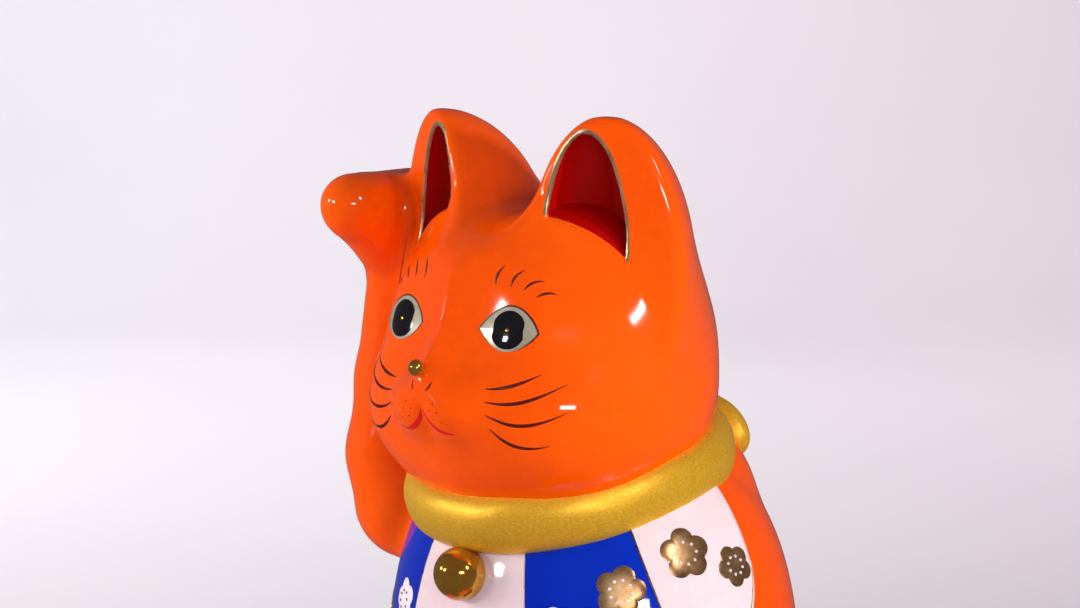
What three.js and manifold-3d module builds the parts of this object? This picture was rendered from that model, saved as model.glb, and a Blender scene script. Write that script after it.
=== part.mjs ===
// Beckoning cat figurine: a hollow slip-cast ceramic cat with one raised paw.
// Millimetres, +Z up. The cat faces -Y, its left side is +X, and it rests on z = 0.
// Every glazed form is a smooth field (negative inside) and each solid is a three.js
// geometry whose vertices are moved onto that field, so neighbouring pieces share one surface.
import * as THREE from 'three';
import { mergeVertices } from 'three/addons/utils/BufferGeometryUtils.js';
import Module from 'manifold-3d';

const wasm = await Module();
wasm.setup();

// ---- Driving dimensions ----
const GAP = 0.3; // luting joint between two pieces
const WALL = 5; // slip-cast wall of the two hollow shells
const VENT_RADIUS = 9; // air hole in the base
const VENT_Y = 14;

const NECK = new THREE.Vector3(0, 9, 138); // middle of the collar ring
const NECK_TILT = THREE.MathUtils.degToRad(14.5); // the collar is lower at the throat

const HEAD = { x: 0, y: 2, z: 164.5, rx: 47.2, ry: 46.5, up: 47.5, down: 48 };
const CHEEK = { x: 23, y: -14, z: 157, rx: 22, ry: 24, rz: 20 };
const MUZZLE = { x: 6.5, y: -40.7, z: 161.5, rx: 8.5, ry: 8, rz: 8 };
const BRIDGE = { x: 0, y: -40.8, z: 170, rx: 6, ry: 8, rz: 8 };
const SOCKET = { x: 17.7, y: -60.9, z: 192.4, rx: 26, ry: 25.5, rz: 30.5 }; // flattens the face about each eye

const EAR = { x: 33.2, y: -12, z: 195, rx: 23.4, ry: 36, rz: 44.4 };
const EAR_YAW = THREE.MathUtils.degToRad(22); // the ear mouths face a little outwards
const EAR_LIP = 1; // the flat front lies this far ahead of the ear's middle
const EAR_MOUTH = { inset: 5.2, rx: 12.6, depth: 11, rz: 40 };
const EAR_SILL = 5; // the mouth stops this far above the head
const EAR_ROOT_TAPER = 1.3; // below its middle the ear narrows this much faster

const BODY = { x: 0, y: 19, z: 70, rx: 63, ry: 53.5, up: 81, down: 72 };
const SHOULDER = { x: 15, y: 39, z: 131, rx: 22, ry: 18, rz: 20 }; // the back rises behind the collar
const HAUNCH = { x: 44, y: 11, z: 34, rx: 31, ry: 45, up: 42, down: 36 };

const BIB_THICK = 2;
const BIB_HALF_ANGLE = THREE.MathUtils.degToRad(93.5); // each side, from straight ahead
const BIB_SHOULDER_Z = 124; // the hem curves down from here
const BIB_DROP = 56;
const BIB_ROUND = 2.2; // power of the hem's curve, 2 being an ellipse
const BIB_TOP_Z = 141;

const COLLAR = { radius: 41.5, radial: 6.2, height: 8.8 };
const BELL = { y: -33.8, z: 113, radius: 7.6 };
const BOW_LOOP = { x: 14.3, y: 54.3, z: 146.8, rx: 13.5, ry: 6, rz: 8.5 };
const BOW_DROOP = THREE.MathUtils.degToRad(22); // each loop slopes down and outwards
const BOW_KNOT = { x: 0, y: 58, z: 150, rx: 6, ry: 6, rz: 7 };
const NOSE = { y: -49.8, z: 171.5, radius: 2.4 };
const EYE = { x: 20.7, y: -33.9, z: 182.1, rx: 11, ry: 2.6, rz: 7.6 }; // most of this lens is sunk in the head
const EYE_YAW = 0.25;
const EYE_PITCH = -0.26;

// Centre lines of the limbs: [x, y, z, radius]
const ARM = [[-61, 5, 121.5, 17.2], [-63.6, 4.5, 136, 17.1], [-63, 5, 158, 15.2], [-61.5, 5.5, 199, 11.8]];
const PAW = [[-61.5, 3.5, 207, 13.2], [-59, -20.2, 210.6, 9.1]];
const PALM = [[-61.5, 1.5, 194.5, 10.6], [-59.5, -15.5, 208.5, 9.2]]; // fills the bend under the paw
const FORELEG = [[24, -22, 50, 17], [21, -33, 32, 14.5], [19, -40, 15, 12.5]];
const TAIL = [[-2, 64, 19, 10.5], [18, 66, 17, 10.5], [38, 61, 15, 9.5], [53, 51, 13, 8.5]];

const FOREFOOT = { x: 18, y: -43, z: 9.5, rx: 13, ry: 16, rz: 11.5 };
const HINDFOOT = { x: 50, y: -32, z: 9.5, rx: 16, ry: 22, rz: 13 };

// ---- Fields ----
const smoothMin = (a, b, k) => {
  const h = Math.max(k - Math.abs(a - b), 0) / k;
  return Math.min(a, b) - h * h * k * 0.25;
};
const smoothMax = (a, b, k) => -smoothMin(-a, -b, k);
const mirrored = (p) => new THREE.Vector3(Math.abs(p.x), p.y, p.z);

function ellipsoid(p, c, yaw = 0) {
  const q = new THREE.Vector3(p.x - c.x, p.y - c.y, p.z - c.z);
  q.applyAxisAngle(new THREE.Vector3(0, 0, 1), -yaw);
  const unit = Math.hypot(q.x / c.rx, q.y / c.ry, q.z / c.rz);
  const slope = Math.hypot(q.x / c.rx ** 2, q.y / c.ry ** 2, q.z / c.rz ** 2);
  return unit * (unit - 1) / Math.max(slope, 1e-9);
}

// An egg with its own height and roundness above and below its centre.
function egg(p, c, roundUp, roundDown) {
  const height = p.z > c.z ? c.up : c.down;
  const power = p.z > c.z ? roundUp : roundDown;
  const x = (p.x - c.x) / c.rx;
  const y = (p.y - c.y) / c.ry;
  const g = Math.max(Math.hypot(x, y), 1e-6);
  const t = Math.abs(p.z - c.z) / height + 1e-6;
  const s = (g ** power + t ** power) ** (1 / power);
  const across = (g / s) ** (power - 1) / g;
  const slope = Math.hypot(across * x / c.rx, across * y / c.ry, (t / s) ** (power - 1) / height);
  return (s - 1) / Math.max(slope, 1e-4);
}

function taper(p, from, to) {
  const a = new THREE.Vector3(...from.slice(0, 3));
  const d = new THREE.Vector3(...to.slice(0, 3)).sub(a);
  const q = p.clone().sub(a);
  const t = THREE.MathUtils.clamp(q.dot(d) / d.lengthSq(), 0, 1);
  return q.addScaledVector(d, -t).length() - THREE.MathUtils.lerp(from[3], to[3], t);
}

function limb(p, stations, k) {
  let value = taper(p, stations[0], stations[1]);
  for (let i = 2; i < stations.length; i += 1) {
    value = smoothMin(value, taper(p, stations[i - 1], stations[i]), k);
  }
  return value;
}

function headField(p) {
  const q = mirrored(p);
  let value = egg(p, HEAD, 2.6, 2);
  value = smoothMin(value, ellipsoid(q, CHEEK), 10);
  value = smoothMin(value, ellipsoid(q, MUZZLE), 8);
  value = smoothMin(value, ellipsoid(p, BRIDGE), 8);
  return smoothMax(value, -ellipsoid(q, SOCKET), 8);
}

function bodyField(p) {
  const body = smoothMin(egg(p, BODY, 2.6, 5), ellipsoid(mirrored(p), SHOULDER), 6);
  const seated = smoothMin(body, egg(mirrored(p), HAUNCH, 2.2, 4), 8);
  return smoothMax(seated, -p.z, 2);
}

function armField(p) {
  const bent = smoothMin(limb(p, ARM, 3), taper(p, ...PAW), 6);
  return smoothMin(bent, taper(p, ...PALM), 4);
}

const forelegField = (p) => smoothMin(limb(p, FORELEG, 8), ellipsoid(p, FOREFOOT), 6);
const tailField = (p) => limb(p, TAIL, 6);

// ---- Solids ----
function toSolid(geometry) {
  const bare = geometry.clone();
  bare.deleteAttribute('normal');
  bare.deleteAttribute('uv');
  const merged = mergeVertices(bare, 1e-4);
  return new wasm.Manifold(new wasm.Mesh({
    numProp: 3,
    vertProperties: new Float32Array(merged.attributes.position.array),
    triVerts: new Uint32Array(merged.index.array),
  }));
}

// A cut can leave loose slivers beside the piece, which a real joint would not have.
function mainPiece(solid) {
  return solid.decompose().reduce((a, b) => (a.volume() > b.volume() ? a : b));
}

function toGeometry(solid) {
  const mesh = solid.getMesh();
  const geometry = new THREE.BufferGeometry();
  geometry.setAttribute('position', new THREE.BufferAttribute(new Float32Array(mesh.vertProperties), 3));
  geometry.setIndex(new THREE.BufferAttribute(new Uint32Array(mesh.triVerts), 1));
  geometry.computeVertexNormals();
  return geometry;
}

function moveVertices(geometry, place) {
  const position = geometry.attributes.position;
  for (let i = 0; i < position.count; i += 1) {
    const p = place(new THREE.Vector3().fromBufferAttribute(position, i));
    position.setXYZ(i, p.x, p.y, p.z);
  }
  return geometry;
}

// The point on the ray from start where the field reaches the level.
function reach(field, start, direction, level, far = 160) {
  let near = 0;
  let beyond = far;
  for (let step = 0; step < 30; step += 1) {
    const middle = (near + beyond) / 2;
    if (field(start.clone().addScaledVector(direction, middle)) < level) near = middle;
    else beyond = middle;
  }
  return start.clone().addScaledVector(direction, near);
}

// A sphere blown up from a point inside until it meets the field at the level.
function blown(field, centre, level, around, rings) {
  const ball = new THREE.SphereGeometry(1, around, rings).rotateX(Math.PI / 2);
  const start = new THREE.Vector3(...centre);
  return toSolid(moveVertices(ball, (v) => reach(field, start, v.normalize(), level)));
}

// A capsule bent along the stations of a limb and drawn onto its field.
function drawn(field, stations, side, around, along) {
  const path = new THREE.CatmullRomCurve3(stations.map((s) => new THREE.Vector3(...s.slice(0, 3))));
  const length = path.getLength();
  const radius = stations[0][3] * 0.8;
  const capsule = new THREE.CapsuleGeometry(radius, length, 5, around, along);
  return toSolid(moveVertices(capsule, (v) => {
    const t = THREE.MathUtils.clamp(v.y / length + 0.5, 0, 1);
    const spare = v.y - (t - 0.5) * length;
    const tangent = path.getTangentAt(t);
    const normal = side.clone().cross(tangent).normalize();
    const across = tangent.clone().cross(normal);
    const p = path.getPointAt(t).addScaledVector(tangent, spare);
    p.addScaledVector(across, v.x).addScaledVector(normal, v.z);
    return settle(field, p);
  }));
}

// Newton steps down the gradient, onto the zero of the field.
function settle(field, p) {
  const e = 0.05;
  for (let step = 0; step < 8; step += 1) {
    const value = field(p);
    const slope = new THREE.Vector3(
      field(new THREE.Vector3(p.x + e, p.y, p.z)) - field(new THREE.Vector3(p.x - e, p.y, p.z)),
      field(new THREE.Vector3(p.x, p.y + e, p.z)) - field(new THREE.Vector3(p.x, p.y - e, p.z)),
      field(new THREE.Vector3(p.x, p.y, p.z + e)) - field(new THREE.Vector3(p.x, p.y, p.z - e)),
    ).divideScalar(2 * e);
    p.addScaledVector(slope, -value / Math.max(slope.lengthSq(), 0.05));
  }
  return p;
}

function ball(c, around, rings, yaw = 0, pitch = 0) {
  const sphere = new THREE.SphereGeometry(1, around, rings).rotateX(Math.PI / 2);
  sphere.scale(c.rx, c.ry, c.rz).rotateX(pitch).rotateZ(yaw).translate(c.x, c.y, c.z);
  return toSolid(sphere);
}

// A large block whose lower face is the tilted neck plane, moved up by the lift.
function aboveNeck(lift) {
  const size = 400;
  const block = new THREE.BoxGeometry(size, size, size).translate(0, 0, size / 2 + lift);
  return toSolid(block.rotateX(NECK_TILT).translate(NECK.x, NECK.y, NECK.z));
}

const floorBlock = toSolid(new THREE.BoxGeometry(400, 400, 100).translate(0, 0, -50));
const flip = (solid) => toSolid(mirrorX(toGeometry(solid)));

function mirrorX(geometry) {
  moveVertices(geometry, (v) => new THREE.Vector3(-v.x, v.y, v.z));
  const index = geometry.index;
  for (let i = 0; i < index.count; i += 3) {
    const second = index.getX(i + 1);
    index.setX(i + 1, index.getX(i + 2));
    index.setX(i + 2, second);
  }
  return geometry;
}

// ---- Head ----
const headAt = (level, around, rings) => blown(headField, [HEAD.x, HEAD.y, HEAD.z], level, around, rings);
const headGrown = headAt(GAP, 36, 24);

function headShell() {
  const hollow = headAt(-WALL, 22, 14);
  return headAt(0, 36, 24).subtract(hollow).intersect(aboveNeck(GAP / 2));
}

// Half an ellipsoid: round behind, flat in front, with its root tapering into the head.
function earBody(grow) {
  const round = new THREE.SphereGeometry(1, 28, 20).rotateX(Math.PI / 2);
  round.scale(EAR.rx + grow, EAR.ry + grow, EAR.rz + grow);
  moveVertices(round, (v) => (v.z < 0 ? v.setZ(v.z / EAR_ROOT_TAPER) : v));
  const front = new THREE.BoxGeometry(200, 200, 200).translate(0, -100 - EAR_LIP - grow, 0);
  const [back, block] = [round, front].map((g) => toSolid(g.rotateZ(EAR_YAW).translate(EAR.x, EAR.y, EAR.z)));
  return back.subtract(block);
}

function leftEar() {
  const mouth = { ...EAR, x: EAR.x - EAR_MOUTH.inset, rx: EAR_MOUTH.rx, ry: EAR_MOUTH.depth, rz: EAR_MOUTH.rz };
  return earBody(0).subtract(ball(mouth, 24, 16, EAR_YAW).subtract(headAt(EAR_SILL, 36, 24)));
}

function leftEye() {
  return ball(EYE, 28, 16, EYE_YAW, EYE_PITCH);
}

function noseBead() {
  const bead = { x: 0, y: NOSE.y, z: NOSE.z, rx: NOSE.radius, ry: NOSE.radius, rz: NOSE.radius };
  return ball(bead, 16, 10).subtract(headGrown);
}

// ---- Body ----
const BODY_CENTRE = [BODY.x, BODY.y, 66];
const bodyAt = (level, around, rings) => blown(bodyField, BODY_CENTRE, level, around, rings);
const bodyGrown = bodyAt(GAP, 38, 26);

function torsoShell() {
  const hollow = bodyAt(-WALL, 24, 16);
  const vent = new THREE.CylinderGeometry(VENT_RADIUS, VENT_RADIUS, 4 * WALL, 24).rotateX(Math.PI / 2);
  const vented = bodyAt(0, 38, 26).subtract(hollow).subtract(toSolid(vent.translate(0, VENT_Y, 0)));
  return vented.subtract(aboveNeck(-GAP / 2));
}

const armAt = (level) => drawn((p) => armField(p) - level, [...ARM, ...PAW], new THREE.Vector3(1, 0, 0), 14, 18);
const armGrown = armAt(GAP);

function raisedArm() {
  return armAt(0).subtract(bodyGrown).subtract(headGrown).subtract(flip(earBody(GAP)));
}

function leftForeleg() {
  const leg = drawn(forelegField, FORELEG, new THREE.Vector3(1, 0, 0), 12, 9);
  const foot = ball(FOREFOOT, 16, 10);
  return leg.add(foot).subtract(bodyGrown).subtract(floorBlock);
}

function leftHindFoot() {
  return ball(HINDFOOT, 18, 12).subtract(floorBlock);
}

function tail() {
  const curl = drawn(tailField, TAIL, new THREE.Vector3(0, 0, 1), 12, 10);
  return curl.subtract(bodyGrown).subtract(floorBlock);
}

// ---- Collar, bow, bell and bib ----
function ring(grow) {
  const section = new THREE.EllipseCurve(
    COLLAR.radius, 0, COLLAR.radial + grow, COLLAR.height + grow, Math.PI, 3 * Math.PI,
  ).getPoints(12);
  section[section.length - 1].copy(section[0]);
  const lathe = new THREE.LatheGeometry(section, 36).rotateX(Math.PI / 2 + NECK_TILT);
  return toSolid(lathe.translate(NECK.x, NECK.y, NECK.z));
}

const collarGrown = ring(GAP);

function collar() {
  return ring(0).subtract(headGrown).subtract(bodyGrown).subtract(armGrown);
}

function collarBow() {
  const sphere = new THREE.SphereGeometry(1, 16, 10).rotateX(Math.PI / 2);
  sphere.scale(BOW_LOOP.rx, BOW_LOOP.ry, BOW_LOOP.rz).rotateY(BOW_DROOP);
  const loop = toSolid(sphere.translate(BOW_LOOP.x, BOW_LOOP.y, BOW_LOOP.z));
  const bow = loop.add(flip(loop)).add(ball(BOW_KNOT, 12, 8));
  return bow.subtract(collarGrown).subtract(bodyGrown).subtract(headGrown);
}

function bellBall() {
  const bell = { x: 0, y: BELL.y, z: BELL.z, rx: BELL.radius, ry: BELL.radius, rz: BELL.radius };
  const underBell = bodyAt(BIB_THICK + 2 * GAP, 38, 26);
  return ball(bell, 20, 12).subtract(collarGrown).subtract(underBell);
}

// A curved slab on the chest. Its grid runs round the body and down from the collar to the hem.
function bibSlab() {
  const sheet = new THREE.BoxGeometry(1, 1, 1, 28, 7, 1);
  const slab = toSolid(moveVertices(sheet, (v) => {
    const share = Math.sin(v.x * Math.PI);
    const angle = share * BIB_HALF_ANGLE;
    const hem = BIB_SHOULDER_Z - BIB_DROP * (1 - Math.abs(share) ** BIB_ROUND) ** (1 / BIB_ROUND);
    const z = THREE.MathUtils.lerp(hem, BIB_TOP_Z, v.y + 0.5);
    const outward = new THREE.Vector3(Math.sin(angle), -Math.cos(angle), 0);
    const level = v.z > 0 ? BIB_THICK : 2 * GAP;
    return reach(bodyField, new THREE.Vector3(BODY.x, BODY.y, z), outward, level, 90);
  }));
  const clear = slab.subtract(collarGrown).subtract(armGrown);
  return clear.subtract(aboveNeck(-COLLAR.height));
}

// ---- Finishes and assembly ----
const finish = (color, roughness, metalness) => ({ color, roughness, metalness });
const ORANGE_GLAZE = finish(0xf05a14, 0.12, 0);
const WHITE_GLAZE = finish(0xf3eeee, 0.12, 0);
const SATIN_GOLD = finish(0xd9a536, 0.45, 0.85);
const BRIGHT_GOLD = finish(0xc9952f, 0.12, 1);
const LUSTRE = finish(0x9a8f70, 0.15, 0.9);

const cat = new THREE.Group();

function add(name, solid, look) {
  const mesh = new THREE.Mesh(toGeometry(mainPiece(solid)), new THREE.MeshStandardMaterial(look));
  mesh.name = name;
  cat.add(mesh);
}

// The left piece and its mirror image, each cut by the shell that it sits on.
function addPair(name, solid, shell, look) {
  add(`left_${name}`, solid.subtract(shell), look);
  add(`right_${name}`, flip(solid).subtract(shell), look);
}

add('torso_shell', torsoShell(), ORANGE_GLAZE);
add('head_shell', headShell(), ORANGE_GLAZE);
addPair('ear', leftEar(), headGrown, ORANGE_GLAZE);
add('raised_arm', raisedArm(), ORANGE_GLAZE);
add('left_foreleg', leftForeleg(), ORANGE_GLAZE);
addPair('hind_foot', leftHindFoot(), bodyGrown, ORANGE_GLAZE);
add('tail', tail(), ORANGE_GLAZE);
add('bib', bibSlab(), WHITE_GLAZE);
add('collar', collar(), SATIN_GOLD);
add('collar_bow', collarBow(), SATIN_GOLD);
add('bell', bellBall(), BRIGHT_GOLD);
add('nose', noseBead(), BRIGHT_GOLD);
addPair('eye', leftEye(), headGrown, LUSTRE);

export default cat;
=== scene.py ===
"""Beckoning cat figurine: the glazed and gilded ceramic cat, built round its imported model.

Shapes are worked out in millimetres as smooth fields (negative inside) and written in metres.
The cat faces -Y, its left side is +X, and it stands on z = 0.
"""
import math

import bpy
import numpy as np
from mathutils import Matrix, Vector


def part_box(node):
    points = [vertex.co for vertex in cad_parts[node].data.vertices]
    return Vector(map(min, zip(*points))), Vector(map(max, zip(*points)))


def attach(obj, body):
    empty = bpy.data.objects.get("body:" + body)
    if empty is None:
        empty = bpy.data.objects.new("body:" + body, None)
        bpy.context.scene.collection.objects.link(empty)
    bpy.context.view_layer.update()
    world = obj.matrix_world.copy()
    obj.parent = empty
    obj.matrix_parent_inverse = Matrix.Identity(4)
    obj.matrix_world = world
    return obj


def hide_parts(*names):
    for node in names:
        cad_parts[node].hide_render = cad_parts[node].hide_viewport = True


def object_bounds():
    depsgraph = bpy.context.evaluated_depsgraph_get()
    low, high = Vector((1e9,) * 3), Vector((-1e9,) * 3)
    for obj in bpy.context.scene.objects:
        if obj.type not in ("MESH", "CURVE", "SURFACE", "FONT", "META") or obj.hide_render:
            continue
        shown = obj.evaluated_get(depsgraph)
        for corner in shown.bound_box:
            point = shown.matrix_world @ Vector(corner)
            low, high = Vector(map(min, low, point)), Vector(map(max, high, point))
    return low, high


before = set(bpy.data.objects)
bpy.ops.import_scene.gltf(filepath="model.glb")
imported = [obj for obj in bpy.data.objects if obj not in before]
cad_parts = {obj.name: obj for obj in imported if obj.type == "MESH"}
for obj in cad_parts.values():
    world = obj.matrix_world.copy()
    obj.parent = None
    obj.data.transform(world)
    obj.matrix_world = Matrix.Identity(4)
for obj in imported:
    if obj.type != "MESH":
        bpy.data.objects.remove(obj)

cad_lowest, cad_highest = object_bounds()

M_PER_MM = 0.001
COARSE = 1.0  # grid spacing factor
HALVINGS = 30  # steps of a search by halving


# ---------------------------------------------------------------- places taken from the CAD nodes
def corners(node):
    low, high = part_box(node)
    return np.array(low) / M_PER_MM, np.array(high) / M_PER_MM


def from_low(node, *offset):
    return corners(node)[0] + np.array(offset, float)


def from_high(node, *offset):
    return corners(node)[1] + np.array(offset, float)


def middle(node):
    low, high = corners(node)
    return (low + high) / 2


HEAD = np.array([0, 2, from_high("head_shell", 0, 0, -47.5)[2]])
EAR = from_high("left_ear", -22.0, -33.6, -44.4)
BODY = np.array([0, 19, from_low("torso_shell", 0, 0, 70)[2]])
NECK = np.array([0, *middle("collar")[1:]])
BELL = np.array([0, from_low("bell", 0, 7.6, 0)[1], from_high("bell", 0, 0, -7.6)[2]])
NOSE = np.array([0, *middle("nose")[1:]])
ARM_LOW = corners("raised_arm")[0]
LEG_LOW = corners("left_foreleg")[0]
FOOT_LOW = corners("left_hind_foot")[0]
TAIL_LOW = corners("tail")[0]
BOW = middle("collar_bow")
CAT_LOW, CAT_HIGH = (np.array(corner) / M_PER_MM for corner in (cad_lowest, cad_highest))

NECK_TILT = math.radians(14.5)
NECK_UP = np.array([0, -math.sin(NECK_TILT), math.cos(NECK_TILT)])
NECK_BACK = np.array([0, math.cos(NECK_TILT), math.sin(NECK_TILT)])
EAR_YAW = math.radians(22)
EAR_DEPTH, EAR_SILL = 11.0, 5.0


# ---------------------------------------------------------------- fields
def smin(a, b, k):
    h = np.maximum(k - np.abs(a - b), 0) / k
    return np.minimum(a, b) - h * h * k * 0.25


def smax(a, b, k):
    return -smin(-a, -b, k)


def mirrored(p):
    return np.concatenate([np.abs(p[..., :1]), p[..., 1:]], -1)


def turned(q, yaw):
    c, s = math.cos(yaw), math.sin(yaw)
    return np.stack([c * q[..., 0] + s * q[..., 1], c * q[..., 1] - s * q[..., 0], q[..., 2]], -1)


def ellipsoid(p, centre, radii, yaw=0.0):
    q = p - np.array(centre, float)
    if yaw:
        q = turned(q, yaw)
    r = np.array(radii, float)
    reach = np.linalg.norm(q / r, axis=-1)
    slope = np.linalg.norm(q / (r * r), axis=-1)
    return reach * (reach - 1) / np.maximum(slope, 1e-9)


def egg(p, centre, rx, ry, up, down, power_up, power_down):
    """A round body whose upper and lower halves differ in height and fullness."""
    q = p - np.array(centre, float)
    above = q[..., 2] > 0
    height = np.where(above, up, down)
    power = np.where(above, power_up, power_down)
    x, y, t = q[..., 0] / rx, q[..., 1] / ry, np.abs(q[..., 2]) / height + 1e-6
    g = np.maximum(np.hypot(x, y), 1e-6)
    s = (g ** power + t ** power) ** (1 / power)
    across = (g / s) ** (power - 1) / g
    upright = (t / s) ** (power - 1) / height
    slope = np.sqrt((across * x / rx) ** 2 + (across * y / ry) ** 2 + upright ** 2)
    return (s - 1) / np.maximum(slope, 1e-4)


def taper(p, start, end):
    """Round cone between two stations (x, y, z, radius)."""
    a, d = np.array(start[:3], float), np.array(end[:3], float) - np.array(start[:3], float)
    t = np.clip(((p - a) @ d) / (d @ d), 0, 1)
    return np.linalg.norm(p - a - t[..., None] * d, axis=-1) - (start[3] + (end[3] - start[3]) * t)


def limb(p, joints, k):
    value = taper(p, joints[0], joints[1])
    for a, b in zip(joints[1:], joints[2:]):
        value = smin(value, taper(p, a, b), k)
    return value


def stations(low, rows):
    return [(*(low + np.array(row[:3], float)), row[3]) for row in rows]


# Each row is a place measured from the low corner of the node's box, and the radius there.
ARM = stations(ARM_LOW, [
    (20, 34.2, 17, 17.2), (17.4, 33.7, 31.5, 17.1), (18, 34.2, 53.5, 15.2), (19.5, 34.7, 94.5, 11.8)])
PAW = stations(ARM_LOW, [(19.5, 32.7, 102.5, 13.2), (22, 9, 106.1, 9.1)])
PALM = stations(ARM_LOW, [(19.5, 30.7, 90, 10.6), (21.5, 13.7, 104, 9.2)])
FORELEG = stations(LEG_LOW, [(19.4, 37, 50, 17), (16.4, 26, 32, 14.5), (14.4, 19, 15, 12.5)])
TAIL = stations(TAIL_LOW, [
    (8.8, 17.5, 15, 10.5), (28.8, 19.5, 13, 10.5), (48.8, 14.5, 11, 9.5), (61, 5, 9, 8.5)])
FOREFOOT = LEG_LOW + np.array([13.4, 16, 9.5])
HINDFOOT = FOOT_LOW + np.array([16, 21.7, 9.5])


def skull(p):
    q = mirrored(p)
    d = egg(p, HEAD, 47.2, 46.5, 47.5, 48, 2.6, 2.0)
    d = smin(d, ellipsoid(q, HEAD + (23, -16, -7.5), (22, 24, 20)), 10)  # cheeks
    d = smin(d, ellipsoid(q, HEAD + (6.5, -42.7, -3), (8.5, 8, 8)), 8)  # muzzle
    d = smin(d, ellipsoid(p, HEAD + (0, -42.8, 5.5), (6, 8, 8)), 8)  # bridge of the nose
    return smax(d, -ellipsoid(q, HEAD + (17.7, -62.9, 27.9), (26, 25.5, 30.5)), 8)  # flat about each eye


def ears(p):
    q = mirrored(p) - EAR
    q[..., 2] = np.where(q[..., 2] < 0, q[..., 2] * 1.3, q[..., 2])
    back = ellipsoid(q, (0, 0, 0), (23.4, 36, 44.4), EAR_YAW)
    front = q[..., 0] * math.sin(EAR_YAW) - q[..., 1] * math.cos(EAR_YAW)
    return smax(back, front - 1.0, 4.0)


def ear_hollow(p):
    return ellipsoid(mirrored(p), EAR - (5.2, 0, 0), (12.6, EAR_DEPTH, 40), EAR_YAW)


def ear_mouth(p, head):
    """The hollow in front of each ear, which stops just above the head."""
    return np.maximum(ear_hollow(p), EAR_SILL - head)


def body(p):
    d = egg(p, BODY, 63, 53.5, 81, 72, 2.6, 5)
    d = smin(d, ellipsoid(mirrored(p), BODY + (15, 20, 61), (22, 18, 20)), 6)  # back, behind the collar
    d = smin(d, egg(mirrored(p), BODY + (44, -8, -36), 31, 45, 42, 36, 2.2, 4), 8)  # haunches
    return smax(d, -p[..., 2], 2)


def arm(p):
    return smin(smin(limb(p, ARM, 3), taper(p, *PAW), 6), taper(p, *PALM), 4)


def foreleg(p):
    return smax(smin(limb(p, FORELEG, 8), ellipsoid(p, FOREFOOT, (13, 16, 11.5)), 6), -p[..., 2], 1.5)


def hind_feet(p):
    return smax(ellipsoid(mirrored(p), HINDFOOT, (16, 22, 13)), -p[..., 2], 1.5)


def tail(p):
    return limb(p, TAIL, 6)


def above_neck(p):
    return (p - NECK) @ NECK_UP


def head(p):
    bare = skull(p)
    d = smin(bare, ears(p), 12)
    return smax(d, -ear_mouth(p, bare), 1.2)


def past_envelope(p):
    """How far a place lies past the box the whole figurine stands in."""
    return np.maximum(CAT_LOW - p, p - CAT_HIGH).max(-1)


def glaze(p):
    """The whole glazed surface, every joint between the pieces softened by the glaze."""
    d = smin(head(p), body(p), 2)
    d = smin(d, arm(p), 7)
    d = smin(d, foreleg(p), 6)
    d = smin(d, hind_feet(p), 4)
    d = smin(d, tail(p), 4)
    return smax(d, past_envelope(p), 1.2)


# ---------------------------------------------------------------- meshing
PROBE = 0.04  # half the distance over which a slope is measured


def gradient(field, p):
    steps = np.eye(3) * PROBE
    return np.stack([field(p + s) - field(p - s) for s in steps], -1) / (2 * PROBE)


def unit(v):
    return v / np.maximum(np.linalg.norm(v, axis=-1, keepdims=True), 1e-9)


def settle(field, p, level=0.0, steps=5):
    """Newton steps along the gradient, onto the level."""
    for _ in range(steps):
        slope = gradient(field, p)
        p = p - slope * ((field(p) - level) / np.maximum((slope ** 2).sum(-1), 0.05))[..., None]
    return p


CUBE = np.array([[i, j, k] for i in (0, 1) for j in (0, 1) for k in (0, 1)])
CUBE_EDGES = [(a, b) for a in range(8) for b in range(a + 1, 8) if np.abs(CUBE[a] - CUBE[b]).sum() == 1]


def surface_net(field, low, high, spacing):
    """Points and triangles of the field's zero inside a box, by surface nets."""
    axes = [np.arange(a, b + spacing, spacing) for a, b in zip(low, high)]
    grid = np.stack(np.meshgrid(*axes, indexing="ij"), -1)
    value = np.concatenate([field(slab) for slab in np.array_split(grid, 8)])
    size = np.array(value.shape) - 1
    inside = value < 0

    def corner(array, c):
        return array[c[0]:c[0] + size[0], c[1]:c[1] + size[1], c[2]:c[2] + size[2]]

    count = sum(corner(inside, c).astype(int) for c in CUBE)
    mixed = (count > 0) & (count < 8)
    number = np.full(size, -1)
    number[mixed] = np.arange(mixed.sum())
    cell = np.argwhere(mixed)
    values = np.stack([corner(value, c)[mixed] for c in CUBE], -1)
    total, hits = np.zeros((len(cell), 3)), np.zeros(len(cell))
    for a, b in CUBE_EDGES:
        va, vb = values[:, a], values[:, b]
        cross = (va < 0) != (vb < 0)
        t = np.where(cross, va / np.where(cross, va - vb, 1), 0)
        total += cross[:, None] * (CUBE[a] + t[:, None] * (CUBE[b] - CUBE[a]))
        hits += cross
    points = np.array(low) + spacing * (cell + total / hits[:, None])
    quads = []
    for axis in range(3):
        u, v = (axis + 1) % 3, (axis + 2) % 3
        near, far = [slice(None)] * 3, [slice(None)] * 3
        near[axis], far[axis] = slice(0, -1), slice(1, None)
        change = inside[tuple(near)].astype(int) - inside[tuple(far)]
        at = np.argwhere(change != 0)
        at = at[(at[:, u] > 0) & (at[:, v] > 0) & (at[:, u] < size[u]) & (at[:, v] < size[v])]
        ring = []
        for du, dv in ((1, 1), (0, 1), (0, 0), (1, 0)):
            c = at.copy()
            c[:, u] -= du
            c[:, v] -= dv
            ring.append(number[tuple(c.T)])
        quad = np.stack(ring, -1)
        back = change[tuple(at.T)] < 0
        quad[back] = quad[back][:, ::-1]
        quads.append(quad)
    quads = np.concatenate(quads)
    return points, np.concatenate([quads[:, [0, 1, 2]], quads[:, [0, 2, 3]]])


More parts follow.
